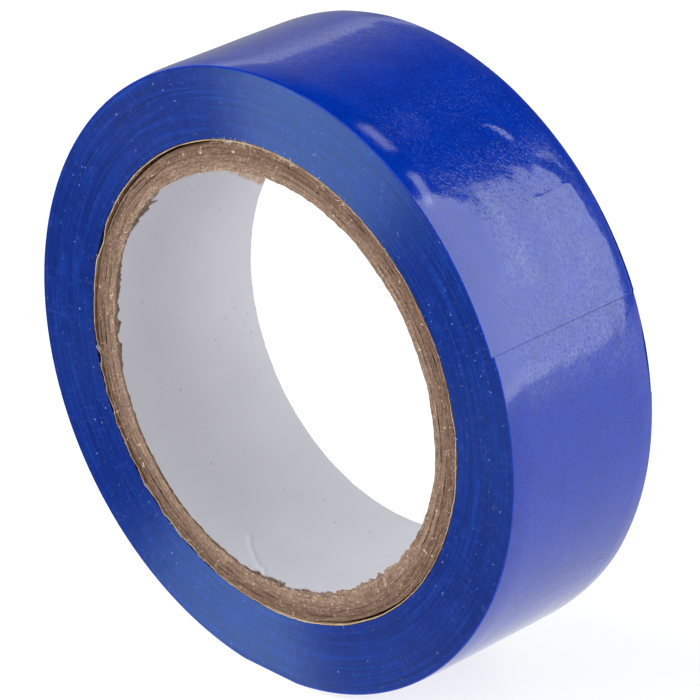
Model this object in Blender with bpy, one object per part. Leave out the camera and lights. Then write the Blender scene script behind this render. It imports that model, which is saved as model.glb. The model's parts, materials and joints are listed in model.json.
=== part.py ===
"""A roll of electrical tape on a laid-paper core, standing on its rim.

Metres, +Z up. The roll's axis runs along Y, with the front face at -Y. The origin is on the ground, under the
middle of the roll. Angles are in degrees in the XZ plane, from +X towards +Z.
"""
import math

import bmesh
import bpy
from mathutils import Matrix, Vector

# Driving dimensions
TAPE_WIDTH = 0.019
ROLL_RADIUS = 0.0314       # to the outside of the free end
CORE_RADIUS = 0.0241
BORE_RADIUS = 0.0213
FILM = 0.00014             # one layer of tape: film and adhesive
LINER = 0.00015            # white paper that lines the bore
KRAFT = 0.0002             # thin outer wrap of the core
BOARD_PLIES = 4
CLEARANCE = 0.00005        # between one laid ply and the next

# Where the tape ends
TAIL_END = 24.0            # the cut end
TAIL_LINKS = 8
LINK_ANGLE = 6.0           # one link of the end that peels
TAIL_ROOT = TAIL_END + TAIL_LINKS * LINK_ANGLE
TAIL_SKEW = 0.0004         # how far the cut end was laid towards the front
LINK_SLIT = 0.1            # left free at each end of a link
STEP_ANGLE = 0.3           # run of the step under the cut end

# Where the wound tape settles on the ground
GROUND_ANGLE = 270.0
FLAT_HALF_ANGLE = 6.5

# Where the kraft wrap has come away from the board
SLIT_START = 102.0
SLIT_END = 159.0
SLIT_DEPTH = 0.0003

GRID = 3.0                 # every ply has its facets on the same angles
SAME_ANGLE = 1e-6          # angles closer than this share one facet line


def strip_outside(angle):
    """Radius of the outermost layer's outer side: a spiral that sinks by one film in each turn from the cut end."""
    turned = (angle - TAIL_END) % 360.0
    return ROLL_RADIUS - FILM * turned / 360.0


def ground_height(depth):
    """Distance from the axis down to the flat of a layer that lies this deep in the winding."""
    radius = strip_outside(GROUND_ANGLE) - depth
    return radius * math.cos(math.radians(FLAT_HALF_ANGLE))


def layer(depth):
    """Radius of a surface this deep below the outermost one, with its flat on the ground side."""

    def radius(angle):
        free = strip_outside(angle) - depth
        away = math.radians(angle - GROUND_ANGLE)
        if math.cos(away) <= 0.0:
            return free
        return min(free, ground_height(depth) / math.cos(away))

    return radius


def round_at(radius):
    """A plain circle."""
    return lambda angle: radius


def slit_wall(radius):
    """A circle with a shallow hollow where the kraft wrap stands off."""

    def hollowed(angle):
        along = (angle - SLIT_START) / (SLIT_END - SLIT_START)
        if not 0.0 < along < 1.0:
            return radius
        return radius - SLIT_DEPTH * math.sin(math.pi * along) ** 2

    return hollowed


def no_skew(angle):
    """A ply that was laid straight."""
    return 0.0


def tail_skew(angle):
    """Sideways drift of the tape's end, nothing at its root and the whole skew at the cut."""
    return -TAIL_SKEW * (TAIL_ROOT - angle) / (TAIL_ROOT - TAIL_END)


def grid_between(start, end):
    """The start and end angles, with every grid angle between them."""
    first = math.floor(start / GRID + SAME_ANGLE) + 1
    last = math.ceil(end / GRID - SAME_ANGLE) - 1
    return [start] + [GRID * i for i in range(first, last + 1)] + [end]


AXIS_HEIGHT = ground_height(0.0)


def point(radius, angle, y):
    turn = math.radians(angle)
    return Vector((radius * math.cos(turn), y, AXIS_HEIGHT + radius * math.sin(turn)))


def wound_piece(name, stations, inside, outside, skew, closed):
    """A ply that runs through the angles in stations: a ring if closed, or else a strip with two cut ends."""
    mesh = bmesh.new()
    sections = []
    for angle in stations:
        front = skew(angle) - TAPE_WIDTH / 2
        back = skew(angle) + TAPE_WIDTH / 2
        corners = ((inside, front), (outside, front), (outside, back), (inside, back))
        sections.append([mesh.verts.new(point(radius(angle), angle, y)) for radius, y in corners])
    pairs = list(zip(sections, sections[1:]))
    if closed:
        pairs.append((sections[-1], sections[0]))
    else:
        mesh.faces.new(sections[0])
        mesh.faces.new(reversed(sections[-1]))
    for here, there in pairs:
        for side in range(4):
            after = (side + 1) % 4
            mesh.faces.new((here[side], there[side], there[after], here[after]))
    bmesh.ops.recalc_face_normals(mesh, faces=mesh.faces)
    data = bpy.data.meshes.new(name)
    mesh.to_mesh(data)
    mesh.free()
    data.shade_smooth()
    data.set_sharp_from_angle(angle=math.radians(30.0))
    piece = bpy.data.objects.new(name, data)
    bpy.context.collection.objects.link(piece)
    return piece


def principled(name, colour, roughness):
    material = bpy.data.materials.new(name)
    material.use_nodes = True
    shader = material.node_tree.nodes["Principled BSDF"]
    shader.inputs["Base Color"].default_value = (*colour, 1.0)
    shader.inputs["Roughness"].default_value = roughness
    shader.inputs["Metallic"].default_value = 0.0
    return material


def ring_stations():
    """All grid angles, and one more where the winding steps down under the cut end."""
    return grid_between(TAIL_END, TAIL_END + 360.0 - STEP_ANGLE)


def build_core():
    """The plies of the paper tube, from the bore outwards."""
    stations = ring_stations()
    board = (CORE_RADIUS - BORE_RADIUS - LINER - KRAFT - (BOARD_PLIES + 1) * CLEARANCE) / BOARD_PLIES
    radius = BORE_RADIUS
    liner = wound_piece("liner_ply", stations, round_at(radius), round_at(radius + LINER), no_skew, True)
    liner.data.materials.append(principled("white_paper", (0.55, 0.56, 0.62), 0.8))
    radius += LINER + CLEARANCE
    for number in range(1, BOARD_PLIES + 1):
        wall = slit_wall if number == BOARD_PLIES else round_at
        name = f"board_ply_{number}"
        ply = wound_piece(name, stations, round_at(radius), wall(radius + board), no_skew, True)
        shade = 0.9 + 0.05 * number
        ply.data.materials.append(principled(name, (0.27 * shade, 0.18 * shade, 0.12 * shade), 0.9))
        radius += board + CLEARANCE
    kraft = wound_piece("kraft_ply", stations, round_at(radius), round_at(radius + KRAFT), no_skew, True)
    kraft.data.materials.append(principled("kraft_paper", (0.5, 0.3, 0.13), 0.75))


def build_winding():
    """The wound turns, and the last full turn over them, up to the root of the tape's end."""
    under = FILM + CLEARANCE
    inner = round_at(CORE_RADIUS + CLEARANCE)
    pack = wound_piece("tape_pack", ring_stations(), inner, layer(under), no_skew, True)
    pack.data.materials.append(principled("blue_winding", (0.005, 0.045, 0.32), 0.45))
    stations = grid_between(TAIL_ROOT + LINK_SLIT, TAIL_END + 360.0 - STEP_ANGLE)
    turn = wound_piece("outer_turn", stations, layer(FILM), layer(0.0), no_skew, False)
    turn.data.materials.append(principled("blue_film", (0.007, 0.05, 0.36), 0.25))


def build_tail():
    """The tape's end as a chain of links, each hinged to the one before it, from the root to the cut."""
    film = principled("blue_tail", (0.007, 0.055, 0.38), 0.25)
    parent = None
    parent_place = Matrix.Identity(4)
    for number in range(1, TAIL_LINKS + 1):
        start = TAIL_ROOT - number * LINK_ANGLE
        end = start + LINK_ANGLE
        cut = 0.0 if number == TAIL_LINKS else LINK_SLIT
        hinge = bpy.data.objects.new(f"tail_hinge_{number}", None)
        bpy.context.collection.objects.link(hinge)
        middle = layer(FILM / 2)(end)
        place = Matrix.Translation(point(middle, end, tail_skew(end)))
        hinge.parent = parent
        hinge.matrix_local = parent_place.inverted() @ place
        stations = grid_between(start + cut, end - LINK_SLIT)
        link = wound_piece(f"tail_link_{number}", stations, layer(FILM), layer(0.0), tail_skew, False)
        link.data.transform(place.inverted())
        link.data.materials.append(film)
        link.parent = hinge
        parent = hinge
        parent_place = place


for old in list(bpy.data.objects):
    bpy.data.objects.remove(old, do_unlink=True)

build_core()
build_winding()
build_tail()
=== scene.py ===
import json
import math

import bpy
import numpy as np
from mathutils import Matrix, Vector


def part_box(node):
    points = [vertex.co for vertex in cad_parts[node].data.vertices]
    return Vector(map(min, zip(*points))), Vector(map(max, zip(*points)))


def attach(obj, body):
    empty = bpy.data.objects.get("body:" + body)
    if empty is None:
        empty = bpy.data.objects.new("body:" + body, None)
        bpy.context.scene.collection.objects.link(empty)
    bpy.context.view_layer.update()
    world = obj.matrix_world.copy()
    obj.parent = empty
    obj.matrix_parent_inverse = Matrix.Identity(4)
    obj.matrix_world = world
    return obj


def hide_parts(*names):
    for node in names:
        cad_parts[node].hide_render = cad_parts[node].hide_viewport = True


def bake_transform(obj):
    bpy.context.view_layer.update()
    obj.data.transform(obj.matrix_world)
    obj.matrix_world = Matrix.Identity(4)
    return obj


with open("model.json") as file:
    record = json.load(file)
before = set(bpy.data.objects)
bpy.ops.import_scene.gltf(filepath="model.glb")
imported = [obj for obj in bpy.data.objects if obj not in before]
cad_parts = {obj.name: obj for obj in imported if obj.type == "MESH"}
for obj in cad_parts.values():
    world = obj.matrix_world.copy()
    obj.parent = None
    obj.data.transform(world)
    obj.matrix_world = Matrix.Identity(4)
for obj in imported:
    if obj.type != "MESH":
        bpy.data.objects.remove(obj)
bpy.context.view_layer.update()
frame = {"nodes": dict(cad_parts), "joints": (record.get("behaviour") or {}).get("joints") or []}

MM = 0.001

# ---------------------------------------------------------------- sizes, from the frame


def box_span(node, axis):
    low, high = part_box(node)
    return high[axis] - low[axis]


def box_middle(node, axis):
    low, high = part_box(node)
    return (high[axis] + low[axis]) / 2


AXIS_HEIGHT = box_middle("liner_ply", 2)
HALF_WIDTH = box_span("liner_ply", 1) / 2
BOARD_NODES = sorted(name for name in frame["nodes"] if name.startswith("board_ply"))
CORE_RADIUS = box_span("kraft_ply", 0) / 2
LINER_OUTSIDE = box_span("liner_ply", 0) / 2
FILM = 0.14 * MM                       # one layer of tape
LINER = 0.15 * MM
KRAFT = 0.08 * MM
BORE_RADIUS = LINER_OUTSIDE - LINER

hinges = [Vector(joint["pos_m"]) for joint in frame["joints"]]
hinge_angles = [math.degrees(math.atan2(p.z - AXIS_HEIGHT, p.x)) for p in hinges]
LINK_ANGLE = hinge_angles[0] - hinge_angles[1]
TAIL_ROOT = hinge_angles[0]
TAIL_END = hinge_angles[-1] - LINK_ANGLE
FILM_MIDDLE = math.hypot(hinges[0].x, hinges[0].z - AXIS_HEIGHT)      # its radius at the first hinge
ROLL_RADIUS = FILM_MIDDLE + FILM / 2 + FILM * (TAIL_ROOT - TAIL_END) / 360.0
TAIL_SKEW = -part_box(f"tail_link_{len(hinges)}")[0].y - HALF_WIDTH
UNDER_FILM = FILM + 0.005 * MM         # depth of the wound pack below the outermost surface
STEP_START = TAIL_END + 0.05           # the pack's surface steps up under the cut end
STEP_END = TAIL_END + 0.35
FALL_FRONT = 2.5 * MM                  # width of the strip at the front edge where the surface falls away
FALL_BACK = 1.75 * MM                  # and of the one at the back edge
ROUNDING = 0.045 * MM                  # of the film's long edges
CUT_BEVEL = 0.05                       # degrees over which the film's cut end is rounded off
CUT_DROP = 0.012 * MM
PACK_TURNS = 51
PACK_GAP = 0.05 * MM                   # between the wound pack and the core
FACE_CORNER = 0.12 * MM                # from a side face to the first point of the pack's outer surface
BOARD_GAP = 0.02 * MM
LEAST = 0.02                           # the least depth in mm of a torn or crushed edge

# ---------------------------------------------------------------- helpers for shapes


def lattice_noise(u, v, period, seed):
    """Smooth random values from -1 to 1 on a unit lattice, which repeats in u after period cells."""
    rows = 97
    values = np.random.default_rng(seed).uniform(-1.0, 1.0, (period, rows))
    i = np.floor(u).astype(int)
    j = np.floor(v).astype(int)
    a = u - i
    b = v - j
    a = a * a * a * (a * (a * 6 - 15) + 10)
    b = b * b * b * (b * (b * 6 - 15) + 10)
    low = values[i % period, j % rows] * (1 - a) + values[(i + 1) % period, j % rows] * a
    high = values[i % period, (j + 1) % rows] * (1 - a) + values[(i + 1) % period, (j + 1) % rows] * a
    return low * (1 - b) + high * b


def smooth_step(value, start, end):
    t = np.clip((value - start) / (end - start), 0.0, 1.0)
    return t * t * (3 - 2 * t)


def arc_mask(angle, start, end, soft):
    """1 between two angles, 0 outside them, with soft ends. start may be negative."""
    middle = (start + end) / 2
    away = np.abs((angle - middle + 180.0) % 360.0 - 180.0)
    return 1 - smooth_step(away, (end - start) / 2 - soft / 2, (end - start) / 2 + soft / 2)


def place(radius, angle, y):
    """Points from arrays of radius, angle and y, which broadcast together."""
    radius, angle, y = np.broadcast_arrays(radius, angle, y)
    turn = np.radians(angle)
    return np.stack([radius * np.cos(turn), y, AXIS_HEIGHT + radius * np.sin(turn)], axis=-1)


def add_object(name, data):
    made = bpy.data.objects.new(name, data)
    bpy.context.scene.collection.objects.link(made)
    return made


def store_places(mesh, points):
    """Keeps where each vertex is at rest, for the materials."""
    rest = mesh.attributes.new("rest_place", "FLOAT_VECTOR", "POINT")
    rest.data.foreach_set("vector", np.array(points, np.float32).ravel())


def grid_mesh(name, points, closed, material_rows=None):
    """A tube of quads through points[section, corner], whose sections are closed loops. If closed, the last
    section joins the first one, or else both ends are capped. material_rows gives each row's slot."""
    sections, corners = points.shape[:2]
    index = np.arange(sections * corners).reshape(sections, corners)
    after = np.roll(index, -1, axis=1)
    here = index if closed else index[:-1]
    here_after = after if closed else after[:-1]
    there = np.roll(index, -1, axis=0) if closed else index[1:]
    there_after = np.roll(after, -1, axis=0) if closed else after[1:]
    quads = np.stack([here, there, there_after, here_after], axis=-1).reshape(-1, 4)
    faces = quads.tolist()
    slots = [] if material_rows is None else np.tile(material_rows, len(here)).tolist()
    if not closed:
        faces.append(index[0].tolist())
        faces.append(index[-1][::-1].tolist())
        slots += [0, 0] if slots else []
    mesh = bpy.data.meshes.new(name)
    flat = points.reshape(-1, 3)
    mesh.from_pydata(flat.tolist(), [], faces)
    store_places(mesh, flat)
    if slots:
        mesh.polygons.foreach_set("material_index", slots)
    loop = points[0] - points[0].mean(axis=0)
    turning = np.cross(loop, np.roll(loop, -1, axis=0)).sum(axis=0)
    onward = (points[1] - points[0]).mean(axis=0)
    if turning @ onward > 0:               # the faces would point into the tube
        mesh.flip_normals()
    mesh.update()
    mesh.shade_smooth()
    return add_object(name, mesh)


def store_values(piece, name, values):
    values = values.astype(np.float32)
    piece.data.attributes.new(name, "FLOAT", "POINT").data.foreach_set("value", values.ravel())


def sharpen(piece, degrees):
    piece.data.set_sharp_from_angle(angle=math.radians(degrees))


def finish_piece(piece, body, nodes, materials):
    for material in materials:
        piece.data.materials.append(material)
    if body:
        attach(piece, body)
    if nodes:
        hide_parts(*nodes)


# ---------------------------------------------------------------- the surface of the winding


def strip_outside(angle):
    """Radius of the outermost layer: a spiral that sinks by one film in each turn from the cut end."""
    return ROLL_RADIUS - FILM * ((angle - TAIL_END) % 360.0) / 360.0


def settled(radius, angle, depth):
    """The same radius with the flat that the roll rests on, at this depth in the winding."""
    down = np.cos(np.radians(angle - 270.0))
    flat = np.where(down > 0.5, (AXIS_HEIGHT - depth) / np.maximum(down, 0.5), 1.0)
    return np.minimum(radius, flat)


def crown(angle, y):
    """How far the winding's surface falls away towards its two edges. At the back, just below the cut end, it
    starts further in."""
    wavy = 0.22 * lattice_noise(angle / 360.0 * 50, np.zeros_like(angle), 50, 12) * MM
    under = (TAIL_END - angle) % 360.0
    below_cut = np.clip(under / 9.0, 0.0, 1.0) * (under < 18.0)
    start_front = HALF_WIDTH - FALL_FRONT
    start_back = HALF_WIDTH - FALL_BACK + wavy - 1.0 * MM * below_cut
    front = np.clip((-y - start_front) / FALL_FRONT, 0.0, 1.1)
    back = np.clip((y - start_back) / FALL_BACK, 0.0, 1.6)
    return 0.16 * MM * front ** 2 + 0.12 * MM * back ** 1.7


# Air under the last turn: angle, y in mm, half lengths along and across in mm, and height in mm
BUMPS = (
    (61.4, 2.9, 0.5, 0.55, 0.030),
    (60.9, 3.6, 0.5, 0.55, 0.045),
    (59.8, 4.2, 0.6, 0.55, 0.055),
    (58.2, 4.7, 0.7, 0.55, 0.055),
    (56.6, 5.0, 0.7, 0.55, 0.040),
    (66.0, -2.0, 3.0, 2.2, 0.05),
    (35.0, 2.2, 3.0, 1.0, 0.022),
    (38.0, -2.6, 3.0, 0.9, 0.022),
)
# Creases across the last turn: angle, degrees of slant per mm, first and last y, half width and height in mm
CREASES = (
    (44.9, 0.02, -6.4, 8.2, 0.20, 0.016),
    (44.4, 0.10, 0.6, 8.4, 0.40, 0.040),
    (42.3, 0.05, 3.0, 8.2, 0.20, 0.020),
    (41.0, -0.08, 3.6, 7.6, 0.18, 0.015),
    (38.6, 0.04, 4.6, 8.0, 0.18, 0.018),
    (36.9, 0.30, 6.2, 8.0, 0.30, 0.030),
    (33.4, 0.05, 0.5, 3.6, 0.18, 0.010),
    (329.5, 0.45, -2.0, 8.8, 0.22, 0.010),
    (334.0, -0.25, 3.0, 8.8, 0.22, 0.009),
    (324.5, 0.20, 1.0, 8.8, 0.25, 0.008),
)
# Hairline scores that run round the last turn: first and last angle, y and height in mm
HAIRLINES = (
    (344.0, 373.0, -2.5, 0.010),
    (100.0, 190.0, 3.1, 0.008),
    (205.0, 268.0, -4.2, 0.008),
    (290.0, 318.0, 5.6, 0.008),
)
# Fine unevenness: cells round the roll, their width across it in mm, height in mm, and seed
UNEVENNESS = ((44, 4.6, 0.012, 11), (150, 1.4, 0.0060, 13), (420, 0.47, 0.0028, 5))
# Pale streaks of haze on the last turn, which also paint a highlight, as they lie only in the arc where the
# softbox's reflection falls: y and half width in mm, first and last angle, and amount
HAZE_AND_HIGHLIGHT_STREAKS = (
    (-2.6, 1.1, 33.0, 48.0, 0.65),
    (2.4, 0.8, 31.0, 47.0, 0.42),
    (5.6, 0.9, 28.0, 44.0, 0.3),
)
# The ridge that the slack in the last turn makes: its height in mm from the front edge to the back one, and
# the angle where it crests
RIDGE_Y = (-9.6, -7.6, -6.6, -5.8, -5.1, -4.3, -3.0, -0.8, 1.5, 3.4, 4.9, 6.1, 7.4, 8.4, 9.6)
RIDGE_HEIGHT = (0.0, -0.02, 0.0, 0.045, 0.075, 0.06, 0.025, 0.012, 0.020, 0.030, 0.045, 0.10, 0.15, 0.08, 0.0)
RIDGE_ANGLE = (52.0, 52.0, 51.0, 50.0, 49.2, 49.6, 50.9, 51.4, 50.8, 50.6, 50.0, 48.0, 45.8, 43.0, 43.0)


def slack(angle, across):
    """1 where the last turn lies a little loose, 0 near its edges, where it is drawn down."""
    wavy = 0.3 * lattice_noise(angle / 360.0 * 90, np.zeros_like(across), 90, 19)
    start = -7.3 + 2.4 * arc_mask(angle, 35.5, 49.0, 5.0) + wavy
    return smooth_step(across - start, 0.0, 1.1) * (1 - smooth_step(across, 8.0, 8.8))


def film_relief(angle, y):
    """Height of the last turn above where it would lie if it were drawn down tight."""
    along = np.radians(angle) * ROLL_RADIUS / MM
    across = y / MM
    around = 2 * math.pi * ROLL_RADIUS / MM
    loose = slack(angle, across)
    height = 0.0
    for cells, width, rise, seed in UNEVENNESS:
        layer = lattice_noise(along / around * cells, across / width + 0.3, cells, seed)
        height = height + rise * (layer * (0.15 + 0.85 * loose) + 1)
    for bump_angle, bump_y, half_along, half_across, rise in BUMPS:
        away = (np.radians(angle - bump_angle) * ROLL_RADIUS / MM / half_along) ** 2
        height = height + rise * np.exp(-away - ((across - bump_y) / half_across) ** 2)
    for crease_angle, slant, start, end, half_along, rise in CREASES:
        jog = 0.22 * lattice_noise(across / 1.3 + 40.0, np.full_like(across, crease_angle), 97, 14)
        line = crease_angle + slant * across + jog
        away = (np.radians(angle - line) * ROLL_RADIUS / MM / half_along) ** 2
        ends = smooth_step(across, start, start + 2.5) * (1 - smooth_step(across, end - 1.2, end))
        height = height + rise * np.exp(-away) * ends
    for start, end, middle, rise in HAIRLINES:
        line = middle + 0.25 * lattice_noise(angle / 360.0 * 70, np.zeros_like(across), 70, 24)
        ends = smooth_step(angle, start, start + 5.0) * (1 - smooth_step(angle, end - 5.0, end))
        height = height + rise * np.exp(-((across - line) / 0.22) ** 2) * ends
    ragged = 0.7 * lattice_noise(across / 1.1 + 40.0, along / 3.0 + 40.0, 97, 15)
    past = angle - np.interp(across, RIDGE_Y, RIDGE_ANGLE) - ragged
    crest = (1 - smooth_step(past, -2.0, 3.0)) * smooth_step(past, -18.0, -3.0)
    height = height + np.interp(across, RIDGE_Y, RIDGE_HEIGHT) * crest
    stuck = smooth_step(np.abs((angle - TAIL_END + 180.0) % 360.0 - 180.0), 0.2, 3.5)
    return np.maximum(height, 0.0) * stuck * MM


def bloom_and_painted_highlight(angle, y):
    """Pale haze on the last turn, partly the film's own haze and partly painted highlight: streaks round the
    roll, and a little everywhere where it lies loose, most of all in the arc where the softbox's reflection
    falls.
    """
    across = y / MM
    drift = 0.5 * lattice_noise(angle / 360.0 * 26, np.zeros_like(across), 26, 16)
    streaks = 0.0
    for middle, half_width, start, end, amount in HAZE_AND_HIGHLIGHT_STREAKS:
        line = np.exp(-((across - middle - drift) / half_width) ** 2)
        streaks = streaks + amount * line * arc_mask(angle, start, end, 7.0)
    patches = lattice_noise(angle / 360.0 * 300, across / 0.8, 300, 17)
    patches = patches + lattice_noise(angle / 360.0 * 60, across / 2.2, 60, 18)
    # painted highlight: the loose film's haze is strongest in the arc from 14 to 54 degrees, where the
    # softbox's reflection falls, and only a little of it stays elsewhere
    painted_highlight_arc = arc_mask(angle, 14.0, 54.0, 8.0) + 0.12
    return np.clip(streaks + 0.30 * (0.5 * patches + 1.0) * slack(angle, across) * painted_highlight_arc, 0.0, 1.5)


def y_samples(count):
    """Places across the film, closer together near its edges."""
    t = np.linspace(-1.0, 1.0, count)
    return HALF_WIDTH * (1.25 * t - 0.25 * t ** 3)


def film_strip(name, start, end, step):
    """The outermost layer between two angles, as a closed solid one film thick, with its edges rounded."""
    sections = max(2, round(abs(end - start) / step) + 1)
    angle = np.linspace(start, end, sections)
    angle = np.insert(angle, -1, end - math.copysign(CUT_BEVEL, end - start))[:, None]
    skew = -TAIL_SKEW * smooth_step((TAIL_ROOT - angle) / (TAIL_ROOT - TAIL_END), 0.0, 1.0)
    y = y_samples(81)[None, :] + skew
    outer = settled(strip_outside(angle), angle, 0.0) - crown(angle, y) + film_relief(angle, y)
    cut_end = (1 - smooth_step(angle - TAIL_END, 0.0, CUT_BEVEL)) * (angle < 180.0)
    inner = outer[:, ::-4] - FILM
    outer = outer - CUT_DROP * cut_end
    y_top = y.copy()
    y_top[:, 0] += ROUNDING
    y_top[:, -1] -= ROUNDING
    front = outer[:, :1] - ROUNDING
    back = outer[:, -1:] - ROUNDING
    radius = np.concatenate([front, outer, back, inner], axis=1)
    across = np.concatenate([y[:, :1], y_top, y[:, -1:], y[:, ::-4]], axis=1)
    rows = np.concatenate([np.zeros(outer.shape[1] + 1, int), np.ones(inner.shape[1] + 1, int)])
    rows[-1] = 0
    piece = grid_mesh(name, place(radius, angle, across), False, rows)
    # stores the film's haze together with its painted highlight
    store_values(piece, "bloom_and_painted_highlight", bloom_and_painted_highlight(angle, across))
    store_values(piece, "slack", slack(angle, across / MM))
    sharpen(piece, 40.0)
    return piece


# ---------------------------------------------------------------- materials


class Nodes:
    """Adds nodes to a new material, or to this world, and joins them."""

    def __init__(self, name, world=None):
        self.material = world or bpy.data.materials.new(name)
        self.material.use_nodes = True
        self.tree = self.material.node_tree
        self.shader = self.tree.nodes["Background" if world else "Principled BSDF"]

    def add(self, kind, inputs=(), **settings):
        node = self.tree.nodes.new(kind)
        for key, value in settings.items():
            setattr(node, key, value)
        for key, value in dict(inputs).items():
            self.put(node.inputs[key], value)
        return node

    def put(self, socket, value):
        if isinstance(value, bpy.types.NodeSocket):
            self.tree.links.new(value, socket)
        elif isinstance(value, bpy.types.Node):
            self.tree.links.new(value.outputs[0], socket)
        else:
            socket.default_value = value

    def maths(self, operation, *values):
        node = self.add("ShaderNodeMath", operation=operation)
        for socket, value in zip(node.inputs, values):
            self.put(socket, value)
        return node.outputs[0]

    def rest_place(self):
        return self.add("ShaderNodeAttribute", attribute_name="rest_place").outputs["Vector"]

    def stored(self, name):
        return self.add("ShaderNodeAttribute", attribute_name=name).outputs["Fac"]

    def noise(self, vector, scale, detail=2.0, roughness=0.5):
        settings = {"Vector": vector, "Scale": scale, "Detail": detail, "Roughness": roughness}
        return self.add("ShaderNodeTexNoise", settings).outputs["Fac"]

    def ramp(self, value, *stops):
        node = self.add("ShaderNodeValToRGB", {"Fac": value})
        elements = node.color_ramp.elements
        while len(elements) < len(stops):
            elements.new(0.5)
        for element, (position, colour) in zip(elements, stops):
            element.position = position
            element.color = (*colour, 1.0) if len(colour) == 3 else colour
        return node.outputs["Color"]

    def mapped(self, value, low, high, to_low, to_high, kind="LINEAR"):
        inputs = {"Value": value, "From Min": low, "From Max": high, "To Min": to_low, "To Max": to_high}
        return self.add("ShaderNodeMapRange", inputs, interpolation_type=kind).outputs["Result"]

    def coordinates(self, kind):
        return self.add("ShaderNodeTexCoord").outputs[kind]

    def split(self, vector):
        return self.add("ShaderNodeSeparateXYZ", {"Vector": vector}).outputs

    def mix(self, factor, one, other):
        node = self.add("ShaderNodeMix", data_type="RGBA")
        self.put(node.inputs["Factor"], factor)
        self.put(node.inputs["A"], one)
        self.put(node.inputs["B"], other)
        return node.outputs["Result"]

    def bump(self, height, distance, strength=1.0, normal=None):
        inputs = {"Height": height, "Distance": distance, "Strength": strength}
        if normal is not None:
            inputs["Normal"] = normal
        return self.add("ShaderNodeBump", inputs).outputs["Normal"]

    def polar(self):
        """The radius in mm, and the two coordinates of a unit vector that turns with the angle."""
        place = self.split(self.rest_place())
        height = self.maths("SUBTRACT", place["Z"], AXIS_HEIGHT)
        squares = self.maths("POWER", place["X"], 2.0), self.maths("POWER", height, 2.0)
        radius = self.maths("SQRT", self.maths("ADD", *squares))
        east = self.maths("DIVIDE", place["X"], radius)
        north = self.maths("DIVIDE", height, radius)
        return self.maths("MULTIPLY", radius, 1.0 / MM), east, north

    def ring_noise(self, polar, around, outwards, detail, roughness):
        """Noise in streaks, with this many cells to a radian round the axis and to a mm outwards."""
        radius, east, north = polar
        where = self.add("ShaderNodeCombineXYZ", {
            "X": self.maths("MULTIPLY", east, around),
            "Y": self.maths("MULTIPLY", north, around),
            "Z": self.maths("MULTIPLY", radius, outwards),
        })
        return self.noise(where, 1.0, detail, roughness)


BLACK = (0.0, 0.0, 0.0)
WHITE = (1.0, 1.0, 1.0)


def film_material():
    """Glossy blue film with fine pits, where it lies loose, and a pale haze, partly the film's own and partly
    painted highlight.
    """
    n = Nodes("blue_pvc_film")
    where = n.rest_place()
    mottle = n.noise(where, 260.0, 4.0, 0.6)
    grain = n.noise(where, 4600.0, 3.0, 0.7)
    mottle = n.maths("ADD", n.maths("MULTIPLY", mottle, 0.2), n.maths("MULTIPLY", grain, 0.8))
    blue = n.ramp(mottle, (0.38, (0.0001, 0.0140, 0.205)), (0.62, (0.0004, 0.0315, 0.355)))
    haze_mottle = n.mapped(n.noise(where, 2900.0, 3.0, 0.6), 0.36, 0.62, 0.0, 0.16)
    # painted highlight: the pale colour mixed in here is strongest where the softbox's reflection falls on
    # the last turn
    haze_and_painted_highlight = n.maths("MULTIPLY", n.stored("bloom_and_painted_highlight"), haze_mottle)
    n.put(n.shader.inputs["Base Color"], n.mix(haze_and_painted_highlight, blue, (0.42, 0.47, 0.58, 1.0)))
    n.put(n.shader.inputs["Roughness"], n.mapped(n.noise(where, 900.0, 3.0), 0.3, 0.7, 0.07, 0.12))
    n.shader.inputs["IOR"].default_value = 1.54
    pits = n.mapped(n.noise(where, 3800.0, 1.0, 0.4), 0.56, 0.67, 0.0, 1.0)
    pebbles = n.noise(where, 2600.0, 2.0, 0.55)
    loose = n.mapped(n.stored("slack"), 0.0, 1.0, 0.2, 1.0)
    pebbled = n.bump(pebbles, 0.000004, 0.7)
    n.put(n.shader.inputs["Normal"], n.bump(n.maths("MULTIPLY", pits, loose), -0.0000058, 0.85, pebbled))
    return n.material


def adhesive_material():
    """The matt adhesive side of the film, seen when its end is peeled."""
    n = Nodes("adhesive_underside")
    where = n.rest_place()
    patches = n.noise(where, 420.0, 5.0, 0.6)
    colour = n.ramp(patches, (0.35, (0.004, 0.035, 0.24)), (0.65, (0.008, 0.05, 0.30)))
    n.put(n.shader.inputs["Base Color"], colour)
    n.put(n.shader.inputs["Roughness"], n.mapped(patches, 0.3, 0.7, 0.22, 0.42))
    n.put(n.shader.inputs["Normal"], n.bump(n.noise(where, 1500.0, 4.0, 0.6), 0.00001, 0.8))
    return n.material


WINDING_BLUES = (
    (0.34, (0.0001, 0.0080, 0.100)),
    (0.50, (0.0002, 0.0120, 0.143)),
    (0.66, (0.001, 0.026, 0.215)),
)


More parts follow.
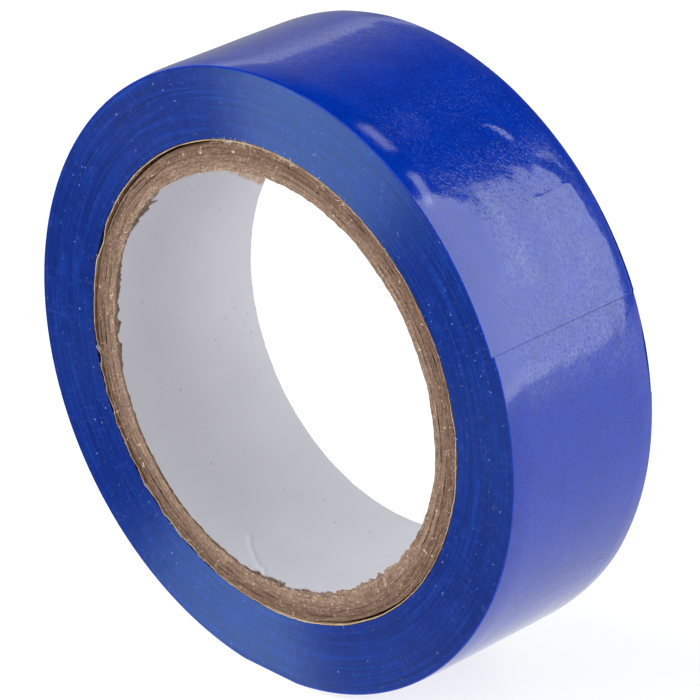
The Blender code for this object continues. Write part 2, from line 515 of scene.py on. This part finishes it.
def winding_edge_material():
    """Cut edges of the wound film: streaks round the axis, which stretch a highlight outwards, with paler
    rays across them, painted shade in the grooves between some turns, and a few specks of dust."""
    n = Nodes("winding_edges")
    polar = n.polar()
    where = n.rest_place()
    streaks = n.ring_noise(polar, 2.6, 3.2, 5.0, 0.65)
    scuffs = n.noise(where, 600.0, 5.0, 0.65)
    both = n.maths("ADD", n.maths("MULTIPLY", streaks, 0.7), n.maths("MULTIPLY", scuffs, 0.3))
    colour = n.ramp(both, *WINDING_BLUES)
    rays = n.mapped(n.ring_noise(polar, 75.0, 0.7, 3.0, 0.6), 0.55, 0.75, 0.0, 0.22)
    colour = n.mix(rays, colour, (0.055, 0.085, 0.34, 1.0))
    # painted shade: these darker lines stand for the shade in the grooves between some turns, which the bump
    # below also sinks
    shaded_grooves = n.mapped(n.ring_noise(polar, 0.9, 4.2, 2.0, 0.5), 0.34, 0.40, 0.5, 0.0)
    colour = n.mix(shaded_grooves, colour, (0.0001, 0.006, 0.075, 1.0))
    dust = n.ramp(n.noise(where, 3300.0, 2.0, 0.5), (0.715, BLACK), (0.775, WHITE))
    colour = n.mix(n.maths("MULTIPLY", dust, 0.5), colour, (0.35, 0.42, 0.62, 1.0))
    n.put(n.shader.inputs["Base Color"], colour)
    n.put(n.shader.inputs["Roughness"], n.mapped(both, 0.35, 0.65, 0.46, 0.56))
    n.shader.inputs["Specular IOR Level"].default_value = 0.80
    n.shader.inputs["Specular Tint"].default_value = (0.40, 0.66, 1.0, 1.0)
    n.shader.inputs["Anisotropic"].default_value = 1.0
    _, east, north = polar
    n.put(n.shader.inputs["Tangent"], n.add("ShaderNodeCombineXYZ", {"X": east, "Z": north}))
    height = n.maths("SUBTRACT", both, n.maths("MULTIPLY", shaded_grooves, 0.4))
    n.put(n.shader.inputs["Normal"], n.bump(height, 0.00005, 0.7))
    return n.material


# Each board ply's dark and light brown, from the bore outwards
BOARD_TONES = (
    ((0.088, 0.046, 0.030), (0.38, 0.25, 0.18)),
    ((0.090, 0.048, 0.031), (0.31, 0.20, 0.145)),
    ((0.066, 0.034, 0.022), (0.26, 0.16, 0.112)),
    ((0.068, 0.036, 0.023), (0.26, 0.155, 0.105)),
)


def board_material(name, dark, light):
    """Sawn brown board: fine grain with faint fibres laid round the axis, and paler flecks."""
    n = Nodes(name)
    fibres = n.ring_noise(n.polar(), 11.0, 7.0, 6.0, 0.75)
    grain = n.noise(n.rest_place(), 4200.0, 4.0, 0.75)
    both = n.maths("ADD", n.maths("MULTIPLY", fibres, 0.5), n.maths("MULTIPLY", grain, 0.5))
    between = [(a + b) / 2.6 for a, b in zip(dark, light)]
    colour = n.ramp(both, (0.36, dark), (0.50, between), (0.64, light))
    flecks = n.ramp(n.noise(n.rest_place(), 2300.0, 2.0), (0.66, BLACK), (0.74, WHITE))
    colour = n.mix(n.maths("MULTIPLY", flecks, 0.6), colour, (0.62, 0.47, 0.36, 1.0))
    n.put(n.shader.inputs["Base Color"], colour)
    n.shader.inputs["Roughness"].default_value = 0.9
    n.shader.inputs["Specular IOR Level"].default_value = 0.2
    n.put(n.shader.inputs["Normal"], n.bump(both, 0.00014, 1.0))
    return n.material


def liner_material():
    """White paper with a few specks. Where it has torn away, bare_board shows brown board."""
    n = Nodes("white_liner_paper")
    where = n.rest_place()
    tone = n.noise(where, 140.0, 5.0, 0.6)
    colour = n.ramp(tone, (0.3, (0.455, 0.44, 0.485)), (0.7, (0.485, 0.47, 0.515)))
    specks = n.ramp(n.noise(where, 1700.0, 2.0), (0.72, BLACK), (0.76, WHITE))
    paper = n.mix(n.maths("MULTIPLY", specks, 0.5), colour, (0.20, 0.18, 0.20, 1.0))
    board = n.noise(where, 2600.0, 4.0, 0.7)
    board = n.ramp(board, (0.35, (0.24, 0.155, 0.105)), (0.65, (0.50, 0.365, 0.275)))
    n.put(n.shader.inputs["Base Color"], n.mix(n.stored("bare_board"), paper, board))
    n.shader.inputs["Roughness"].default_value = 0.75
    n.put(n.shader.inputs["Normal"], n.bump(n.noise(where, 1700.0, 4.0, 0.6), 0.00002, 0.5))
    return n.material


def kraft_material():
    n = Nodes("kraft_wrap")
    grain = n.noise(n.rest_place(), 1100.0, 4.0, 0.6)
    blotches = n.noise(n.rest_place(), 120.0, 2.0)
    tone = n.maths("ADD", n.maths("MULTIPLY", grain, 0.5), n.maths("MULTIPLY", blotches, 0.5))
    colour = n.ramp(tone, (0.38, (0.24, 0.12, 0.055)), (0.62, (0.48, 0.35, 0.22)))
    n.put(n.shader.inputs["Base Color"], colour)
    n.shader.inputs["Roughness"].default_value = 0.8
    n.put(n.shader.inputs["Normal"], n.bump(tone, 0.00005, 0.7))
    return n.material


# ---------------------------------------------------------------- the winding


def build_pack(materials):
    """The wound turns under the last one. Their cut edges stand a little out of line with each other."""
    angle = np.sort(np.append(np.arange(0.5, 360.0, 1.0), [STEP_START, STEP_END]))[:, None]
    late = np.where(np.abs(angle - TAIL_END) < 0.2, angle - 0.2, angle)
    top = settled(strip_outside(late) - UNDER_FILM, angle, UNDER_FILM)
    levels = np.arange(2 * PACK_TURNS + 1)[None, :]
    turn = levels // 2
    share = levels / (2.0 * PACK_TURNS)
    inside = CORE_RADIUS + PACK_GAP
    radius = inside + (top - inside) * share
    around = angle / 360.0
    laid = lattice_noise(around * 7, turn * 1.0, 7, 21) * 0.6
    laid = laid + lattice_noise(around * 5, turn / 6.0, 5, 22) * 0.8
    laid_back = lattice_noise(around * 7, turn + 60.0, 7, 23)
    groove = np.where(levels % 2 == 0, 0.016, 0.0)
    worn = groove + 0.03 * smooth_step(share, 0.86, 1.0)
    front = -HALF_WIDTH + (0.030 * laid + worn) * MM
    back = HALF_WIDTH + (0.030 * laid_back - worn) * MM
    y_skin = np.linspace(-HALF_WIDTH + FACE_CORNER, HALF_WIDTH - FACE_CORNER, 25)[None, :]
    skin = top - crown(angle, y_skin) - 0.004 * MM
    y_skin = np.broadcast_to(y_skin, skin.shape)
    loop_radius = np.concatenate([radius, skin, radius[:, ::-1]], axis=1)
    loop_y = np.concatenate([front, y_skin, back[:, ::-1]], axis=1)
    rows = [0] * (levels.size - 1) + [1] * (skin.shape[1] + 1) + [0] * levels.size
    piece = grid_mesh("wound_turns", place(loop_radius, angle, loop_y), True, rows)
    sharpen(piece, 50.0)
    finish_piece(piece, "roll", ["tape_pack"], materials)


def build_film(materials):
    """The last turn, and its free end in pieces. One piece lies over each hinge, from the middle of a link to
    the middle of the next."""
    half = LINK_ANGLE / 2
    turn = film_strip("last_turn", TAIL_ROOT + half, TAIL_END + 360.0, 0.5)
    finish_piece(turn, "roll", ["outer_turn"], materials)
    for i, angle in enumerate(hinge_angles):
        end = TAIL_END if i == len(hinges) - 1 else angle - half
        strip = film_strip(f"tail_film_{i + 1}", angle + half, end, 0.25)
        start_point = Vector(place(ROLL_RADIUS, angle + half, 0.0))
        end_point = Vector(place(ROLL_RADIUS, angle - half, 0.0))
        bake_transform(strip)
        finish_piece(strip, None, [f"tail_link_{i + 1}"], materials)


# ---------------------------------------------------------------- the paper core


# Depths in mm, behind its front face, of the rows of a ply's walls, and of those of the liner's inner wall
WALL = np.array([0.15, 0.4, 0.7, 1.0, 1.4, 1.9, 2.5, 3.2, 5.0, 9.0, 13.0, 17.0])
LINER_WALL = np.linspace(0.2, 18.8, 76)
CORE_ANGLES = np.arange(0.0, 360.0, 0.4)[:, None]


def ply_solid(name, inside, outside, front, back, rows_in=WALL,
              deep_inside=None, deep_outside=None, near=1.0):
    """A ply as a closed ring. front and back hold the y of its two faces' points. Its radii at the front face
    turn into the deep ones over this depth, near, in mm."""
    deep_inside = inside if deep_inside is None else deep_inside
    deep_outside = outside if deep_outside is None else deep_outside
    radii = (inside, outside, deep_inside, deep_outside)
    inside, outside, deep_inside, deep_outside = (np.broadcast_to(r, CORE_ANGLES.shape) for r in radii)
    share = np.linspace(0.0, 1.0, front.shape[1])[None, :]
    face = inside + (outside - inside) * share
    back_face = deep_inside + (deep_outside - deep_inside) * share
    full = 2.0 * HALF_WIDTH
    y_out = front[:, -1:] + (back[:, -1:] - front[:, -1:]) * WALL[None, :] * MM / full
    y_in = front[:, :1] + (back[:, :1] - front[:, :1]) * rows_in[None, :] * MM / full
    wall_out = outside + (deep_outside - outside) * smooth_step(WALL, 0.0, near)[None, :]
    wall_in = inside + (deep_inside - inside) * smooth_step(rows_in, 0.0, near)[None, :]
    radius = np.concatenate([face, wall_out, back_face[:, ::-1], wall_in[:, ::-1]], axis=1)
    y = np.concatenate([front, y_out, back[:, ::-1], y_in[:, ::-1]], axis=1)
    return grid_mesh(name, place(radius, CORE_ANGLES, y), True)


# The kraft wrap leaves the tape and folds in on the board: angle, half width in degrees, depth in mm
FOLDS = (
    (161.5, 5.0, 0.40),
    (191.5, 4.0, 0.46),
    (198.0, 3.6, 0.22),
    (204.5, 3.4, 0.32),
    (213.0, 4.5, 0.20),
    (220.0, 3.2, 0.34),
    (228.5, 4.4, 0.26),
    (236.0, 3.4, 0.18),
    (243.0, 3.4, 0.28),
    (249.5, 3.6, 0.20),
    (300.0, 4.0, 0.05),
    (78.0, 5.0, 0.07),
)
END_SET_BACK = 0.10                    # how far in mm the boards' sawn ends stand back from the tape
END_WEAR = 0.07                        # and how uneven they are, in mm
# The inner ply's cut edge is crushed in over the liner: angles, and how far in mm
LIP_ANGLE = (0.0, 60.0, 90.0, 108.0, 120.0, 134.0, 140.0, 146.0, 152.0, 176.0,
             200.0, 238.0, 262.0, 281.0, 297.0, 314.0, 323.0, 335.0, 345.0, 360.0)
LIP_DEPTH = (0.12, 0.15, 0.35, 0.40, 0.38, 0.22, 0.15, 0.20, 0.20, 0.35,
             0.25, 0.20, 0.30, 0.50, 0.78, 0.90, 0.62, 0.40, 0.20, 0.12)
# Where the board stands back from the kraft wrap: first and last angle, softness in degrees, and gap in mm
SLITS = (
    (106.0, 192.0, 16.0, 0.27),
    (192.0, 252.0, 8.0, 0.22),
    (286.0, 312.0, 14.0, 0.14),
)
# Where the liner's front edge is torn: first and last angle, softness in degrees, depth and raggedness in mm
TEARS = (
    (136.0, 152.0, 6.0, 0.55, 0.50),
    (165.0, 192.0, 14.0, 0.35, 0.40),
    (262.0, 322.0, 10.0, 0.60, 0.60),
)
# Notches in that edge: angle, half width in degrees, depth in mm
NOTCHES = ((141.5, 0.9, 0.9), (145.0, 1.6, 0.4))
# Where the liner paper ends at its lengthwise tear: y in mm, and angle
SEAM_Y = (-9.5, -5.0, -3.0, -1.2, -0.4, 1.5, 5.4, 10.0)
SEAM_ANGLE = (130.0, 132.5, 134.6, 136.6, 138.0, 142.0, 149.7, 157.3)
CREASE_START = (251.0, -5.7)           # a point on the liner's crease: angle, and y in mm
CREASE_SLANT = 3.8136                  # degrees it runs on for each mm towards the front


def slit(angle):
    """How far the board stands back from the kraft wrap, round the core, in mm."""
    return sum(gap * arc_mask(angle, start, end, soft) for start, end, soft, gap in SLITS)


def folded_in(angle):
    """How far the kraft wrap stands in from the tape, round the core, in mm."""
    depth = np.zeros_like(angle)
    for middle, half_width, fold in FOLDS:
        share = np.clip(1.0 - np.abs(angle - middle) / half_width, 0.0, 1.0)
        depth = np.maximum(depth, fold * share ** 0.8)
    return depth


def ring_ripple(angle, cells, seed):
    """Smooth noise round the core, from -1 to 1, with this many cells in a turn."""
    return lattice_noise(angle / 360.0 * cells, np.zeros_like(angle), cells, seed)


def ragged_edge(angle, cells, seed):
    """A torn edge's outline, from -1 to 1, with finer details on coarser ones."""
    return 0.6 * ring_ripple(angle, cells, seed) + 0.4 * ring_ripple(angle, cells * 3, seed + 1)


def jagged(across, size, seed):
    """A torn line's wander from -1 to 1 along y, which is in mm, with details of this size in mm."""
    return lattice_noise(across / size + 40.0, np.zeros_like(across), 97, seed)


def build_boards(materials):
    """The board plies, with worn ends. The first is crushed in at the bore, and the last leaves a slit."""
    angle = CORE_ANGLES
    around = angle / 360.0
    share = np.linspace(0.0, 1.0, 9)[None, :]
    deep_inside = LINER_OUTSIDE + 0.01 * MM + BOARD_GAP
    for number, node in enumerate(BOARD_NODES):
        deep_outside = box_span(node, 0) / 2
        inside = deep_inside
        outside = deep_outside
        near = 0.6
        if number == 0:
            lip = np.interp(angle, LIP_ANGLE, LIP_DEPTH) * (1.0 + 0.30 * ragged_edge(angle, 180, 71))
            inside = deep_inside - np.maximum(lip, LEAST) * MM
            near = 0.9
        if number == len(BOARD_NODES) - 1:
            outside = deep_outside - slit(angle) * MM
        grain = lattice_noise(around * 240, share * 4 + number * 9, 240, 31) * 0.5
        grain = grain + lattice_noise(around * 60, share * 2 + number * 5, 60, 32)
        front = -HALF_WIDTH + (END_WEAR * grain + END_SET_BACK) * MM
        back = HALF_WIDTH + (END_WEAR * grain - END_SET_BACK) * MM
        piece = ply_solid(f"board_{number + 1}", inside, outside, front, back,
                          deep_inside=deep_inside, deep_outside=deep_outside, near=near)
        sharpen(piece, 55.0)
        finish_piece(piece, "roll", [node], [materials[number]])
        deep_inside = deep_outside + BOARD_GAP


def build_liner(material):
    """The white paper in the bore: torn at its front edge, creased, and torn away along a lengthwise seam."""
    angle = CORE_ANGLES
    around = angle / 360.0
    ragged = ragged_edge(angle, 160, 41)
    torn = 0.35 + 0.10 * ragged
    for start, end, soft, depth, raggedness in TEARS:
        torn = torn + arc_mask(angle, start, end, soft) * (depth + raggedness * ragged)
    for middle, half_width, depth in NOTCHES:
        torn = torn + depth * np.exp(-((angle - middle) / half_width) ** 2)
    front = -HALF_WIDTH + np.maximum(torn, LEAST) * MM
    back = HALF_WIDTH - (0.15 + 0.05 * ragged_edge(angle, 200, 44)) * MM
    across = LINER_WALL[None, :] - HALF_WIDTH / MM
    crease_angle, crease_y = CREASE_START
    crease_path = crease_angle + CREASE_SLANT * (crease_y - across) + 1.2 * jagged(across, 1.1, 45)
    crease = np.exp(-(((angle - crease_path) / 0.9) ** 2)) * (1 - smooth_step(across, -5.9, -5.2))
    sag = lattice_noise(around * 26, across / 5.0 + 20.0, 26, 46)
    sag = sag + 0.4 * lattice_noise(around * 90, across / 1.6 + 20.0, 90, 47)
    seam = np.interp(across, SEAM_Y, SEAM_ANGLE) + 0.6 * jagged(across, 0.8, 48)
    bare = smooth_step(seam - angle, 0.0, 0.6) * smooth_step(angle, 90.0, 91.5)
    front = np.repeat(front, 2, 1)
    back = np.repeat(back, 2, 1)
    piece = ply_solid("liner", BORE_RADIUS, LINER_OUTSIDE, front, back, LINER_WALL)
    dent_liner(piece, (0.016 * sag - 0.07 * crease + 0.11 * bare) * MM, bare)
    sharpen(piece, 50.0)
    finish_piece(piece, "roll", ["liner_ply"], [material])


def build_kraft(material):
    """The thin wrap round the board, with folds where it has come away from the tape."""
    deep = CORE_RADIUS - 0.015 * MM * (ring_ripple(CORE_ANGLES, 90, 51) + 1)
    outside = deep - folded_in(CORE_ANGLES) * MM
    edge = 0.07 * MM * (ragged_edge(CORE_ANGLES, 300, 52) + ring_ripple(CORE_ANGLES, 50, 53))
    edge = np.repeat(edge, 2, 1)
    piece = ply_solid("kraft", outside - KRAFT, outside, edge - HALF_WIDTH, edge + HALF_WIDTH,
                      deep_inside=deep - KRAFT, deep_outside=deep, near=3.0)
    sharpen(piece, 50.0)
    finish_piece(piece, "roll", ["kraft_ply"], [material])


def dent_liner(piece, out, bare):
    """Moves the liner's inner wall outwards, section by row, and stores where the board shows bare."""
    sections, rows = out.shape
    flat = np.empty(len(piece.data.vertices) * 3, np.float32)
    piece.data.vertices.foreach_get("co", flat)
    points = flat.reshape(sections, -1, 3)
    wall = points[:, -rows:]
    height = wall[:, :, 2] - AXIS_HEIGHT
    radius = np.hypot(wall[:, :, 0], height)
    grown = 1.0 + out[:, ::-1] / radius
    wall[:, :, 0] *= grown
    wall[:, :, 2] = AXIS_HEIGHT + height * grown
    piece.data.vertices.foreach_set("co", points.ravel())
    state = np.zeros(points.shape[:2])
    state[:, -rows:] = bare[:, ::-1]
    store_values(piece, "bare_board", state)
    piece.data.update()


# Loose fibres: how many, first and last angle, radius and its spread in mm
FIBRE_PATCHES = (
    (50, 0.0, 360.0, 23.95, 0.10),
    (30, 188.0, 256.0, 23.80, 0.20),
    (30, 64.0, 86.0, 23.95, 0.14),
    (80, 83.0, 107.0, 24.00, 0.13),
    (26, 132.0, 152.0, 21.38, 0.10),
    (40, 266.0, 328.0, 21.15, 0.25),
    (30, 150.0, 210.0, 21.38, 0.12),
    (30, 84.0, 116.0, 21.22, 0.12),
    (26, 0.0, 360.0, 22.70, 0.90),
)
FIBRE_STEPS = 7
FIBRE_Y = -HALF_WIDTH + 0.12 * MM
BACKWARDS = np.array([0.0, 1.0, 0.0])


def add_fibre(verts, faces, start, heading, turn, length, thick):
    """Adds one hair: a thin tube that bends by this turn, tapers, and lifts off the face in its middle."""
    base = len(verts)
    point = start
    for step in range(FIBRE_STEPS):
        done = step / (FIBRE_STEPS - 1)
        bend = heading + turn * step / FIBRE_STEPS
        ahead = np.array([math.cos(bend), 0.0, math.sin(bend)])
        across = np.array([-ahead[2], 0.0, ahead[0]])
        lift = 0.16 * MM * math.sin(math.pi * min(1.0, done + 0.1))
        size = thick * (1.0 - 0.6 * done)
        for k in range(4):
            corner = math.pi / 2 * k
            sideways = across * size * math.cos(corner)
            verts.append(tuple(point + sideways + BACKWARDS * (size * math.sin(corner) - lift)))
        point = point + ahead * length / (FIBRE_STEPS - 1)
    for step in range(FIBRE_STEPS - 1):
        for k in range(4):
            a = base + 4 * step + k
            b = base + 4 * step + (k + 1) % 4
            faces.append((a, a + 4, b + 4, b))
    top = base + 4 * (FIBRE_STEPS - 1)
    faces.append((base, base + 1, base + 2, base + 3))
    faces.append((top + 3, top + 2, top + 1, top))


def build_fibres(material):
    """Hairs of torn paper on the core's front face, in one mesh."""
    rng = np.random.default_rng(61)
    verts = []
    faces = []
    for count, first, last, middle, spread in FIBRE_PATCHES:
        for _ in range(count):
            angle = math.radians(rng.uniform(first, last))
            radius = (middle + rng.uniform(-spread, spread)) * MM
            heading = rng.uniform(0.0, 2.0 * math.pi)
            length = rng.uniform(0.25, 0.85) * MM
            turn = rng.uniform(-2.2, 2.2)
            thick = rng.uniform(0.014, 0.028) * MM
            start = np.array([radius * math.cos(angle), FIBRE_Y, AXIS_HEIGHT + radius * math.sin(angle)])
            add_fibre(verts, faces, start, heading, turn, length, thick)
    mesh = bpy.data.meshes.new("paper_fibres")
    mesh.from_pydata(verts, [], faces)
    store_places(mesh, verts)
    mesh.update()
    mesh.shade_smooth()
    piece = add_object("paper_fibres", mesh)
    finish_piece(piece, "roll", [], [material])


def fibre_material():
    n = Nodes("loose_fibres")
    tone = n.noise(n.rest_place(), 700.0, 2.0)
    colour = n.ramp(tone, (0.35, (0.42, 0.28, 0.17)), (0.65, (0.74, 0.66, 0.56)))
    n.put(n.shader.inputs["Base Color"], colour)
    n.shader.inputs["Roughness"].default_value = 0.85
    return n.material


# ---------------------------------------------------------------- stage, lights and camera


FLOOR_SIDE = 24.0
# How strongly a stage surface glows: from and to which distance or direction, and how much there
FLOOR_GLOW = (0.4, 2.5, 0.74, 1.0)     # by distance from the roll in m
SKY_FADE = (0.30, 0.74, 1.0, 0.0)      # by height, as the direction's Z
BACK_FADE = (-0.30, 0.60, 0.05, 0.36)  # from the front to the back, as the direction's Y
HORIZON = (0.03, 0.065, 1.0, 0.0)      # by height
CARD_RIM = 0.035

SOFT_LIGHT = (0.96, 1.0, 1.0)
UP = (0.0, 0.0, 1.0)
BACK = (0.0, 1.0, 0.0)
LEAN = math.radians(34.5)              # of the large softbox, whose foot is on the floor
# Name, centre, direction from the roll, direction of its height, width, height, and radiance
SOFTBOXES = (
    ("softbox_right", (0.51, 0.285, 0.37), (math.cos(LEAN), 0.0, math.sin(LEAN)),
     (-math.sin(LEAN), 0.0, math.cos(LEAN)), 0.77, 0.86, 3.2),
    ("softbox_left", (-0.40, -0.69, 0.43), (-0.45, -0.77, 0.42), UP, 0.80, 0.50, 11.0),
    ("strip_above", (0.25, 0.575, 0.83), UP, BACK, 0.20, 0.11, 3.2),
    ("strip_behind", (-0.10, 0.575, 0.83), UP, BACK, 0.18, 0.11, 2.2),
    ("overhead", (-0.05, -0.30, 0.90), UP, BACK, 0.8, 0.6, 0.9),
)


def stage_sheet(name, width, height, tone):
    """A matt rectangle that can glow, and its material's nodes."""
    x = width / 2
    y = height / 2
    mesh = bpy.data.meshes.new(name)
    mesh.from_pydata([(-x, -y, 0), (x, -y, 0), (x, y, 0), (-x, y, 0)], [], [(0, 1, 2, 3)])
    n = Nodes(name)
    n.shader.inputs["Base Color"].default_value = (tone, tone, tone, 1.0)
    n.shader.inputs["Roughness"].default_value = 0.9
    n.shader.inputs["Emission Color"].default_value = (*WHITE, 1.0)
    mesh.materials.append(n.material)
    return add_object(name, mesh), n


def build_floor():
    floor, n = stage_sheet("floor", FLOOR_SIDE, FLOOR_SIDE, 0.30)
    away = n.add("ShaderNodeVectorMath", {"Vector": n.coordinates("Object")}, operation="LENGTH")
    n.put(n.shader.inputs["Emission Strength"], n.mapped(away.outputs["Value"], *FLOOR_GLOW))


def dim_card(name, width, height, matrix, glow):
    """A dim card that only reflections see. It hides the pale floor there, and brightens to it at its rim."""
    card, n = stage_sheet(name, width, height, 0.02)
    card.matrix_world = matrix
    card.visible_camera = False
    card.visible_diffuse = False
    card.visible_transmission = False
    card.visible_shadow = False
    n.shader.inputs["Specular IOR Level"].default_value = 0.0
    place_on_card = n.split(n.coordinates("Object"))
    fades = []
    for axis, half in (("X", width / 2), ("Y", height / 2)):
        away = n.maths("ABSOLUTE", place_on_card[axis])
        fades.append(n.mapped(away, half - CARD_RIM, half, glow, 1.0, "SMOOTHSTEP"))
    n.put(n.shader.inputs["Emission Strength"], n.maths("MAXIMUM", *fades))


def build_cards():
    """One card stands behind the roll on the left, and one lies on the floor in front of it on the left."""
    distance = 0.16
    middle_height = 0.036
    out = Vector((-0.76, 0.645, 0.0)).normalized()
    side = Vector((0.645, 0.76, 0.0)).normalized()
    standing = Matrix((side, Vector(UP), out)).transposed().to_4x4()
    standing.translation = out * distance + Vector(UP) * middle_height
    dim_card("card_behind", width=0.34, height=0.150, matrix=standing, glow=0.33)
    lying = Matrix.Translation((-0.075, -0.125, 0.0008))
    dim_card("card_in_front", width=0.25, height=0.25, matrix=lying, glow=0.12)


def soft_light(name, centre, facing, up, width, height, radiance):
    """A rectangular softbox. facing points from the roll to it, and its height lies along up."""
    light = bpy.data.lights.new(name, "AREA")
    light.shape = "RECTANGLE"
    light.size = width
    light.size_y = height
    light.energy = radiance * math.pi * width * height
    light.color = SOFT_LIGHT
    lamp = add_object(name, light)
    out = Vector(facing).normalized()
    side = Vector(up).cross(out).normalized()
    lamp.matrix_world = Matrix((side, out.cross(side), out)).transposed().to_4x4()
    lamp.location = Vector(centre)


def build_world():
    """A pale band low down, brighter behind the roll, which fades to dark overhead."""
    world = bpy.data.worlds.new("studio")
    bpy.context.scene.world = world
    n = Nodes("studio", world)
    direction = n.split(n.coordinates("Generated"))
    low_down = n.mapped(direction["Z"], *SKY_FADE, "SMOOTHSTEP")
    behind = n.mapped(direction["Y"], *BACK_FADE, "SMOOTHSTEP")
    horizon = n.mapped(direction["Z"], *HORIZON, "SMOOTHSTEP")
    strength = n.maths("MAXIMUM", n.maths("MULTIPLY", low_down, behind), horizon)
    n.put(n.shader.inputs["Strength"], strength)
    n.shader.inputs["Color"].default_value = (*WHITE, 1.0)


def build_camera():
    """The camera looks at the middle of the roll, from the photo's angle."""
    azimuth = math.radians(44.17)
    elevation = math.radians(26.02)
    distance = 0.4335
    level = math.cos(elevation)
    back = Vector((math.sin(azimuth) * level, -math.cos(azimuth) * level, math.sin(elevation)))
    camera = add_object("camera", bpy.data.cameras.new("camera"))
    camera.location = Vector((0, 0, AXIS_HEIGHT)) + back * distance
    camera.rotation_euler = (-back).to_track_quat("-Z", "Y").to_euler()
    camera.data.lens = 233.7
    camera.data.sensor_width = 36.0
    camera.data.shift_x = 0.0159
    camera.data.shift_y = 0.0052
    camera.data.clip_start = 0.01
    bpy.context.scene.camera = camera


# ---------------------------------------------------------------- the scene


build_camera()
build_world()
build_floor()
for softbox in SOFTBOXES:
    soft_light(*softbox)
build_cards()
bpy.context.scene.view_settings.view_transform = "Standard"

film = film_material()
adhesive = adhesive_material()
edges = winding_edge_material()
build_pack([edges, film])
build_film([film, adhesive])
boards = [board_material(f"board_{i + 1}", *BOARD_TONES[i]) for i in range(len(BOARD_NODES))]
build_boards(boards)
build_liner(liner_material())
build_kraft(kraft_material())
build_fibres(fibre_material())
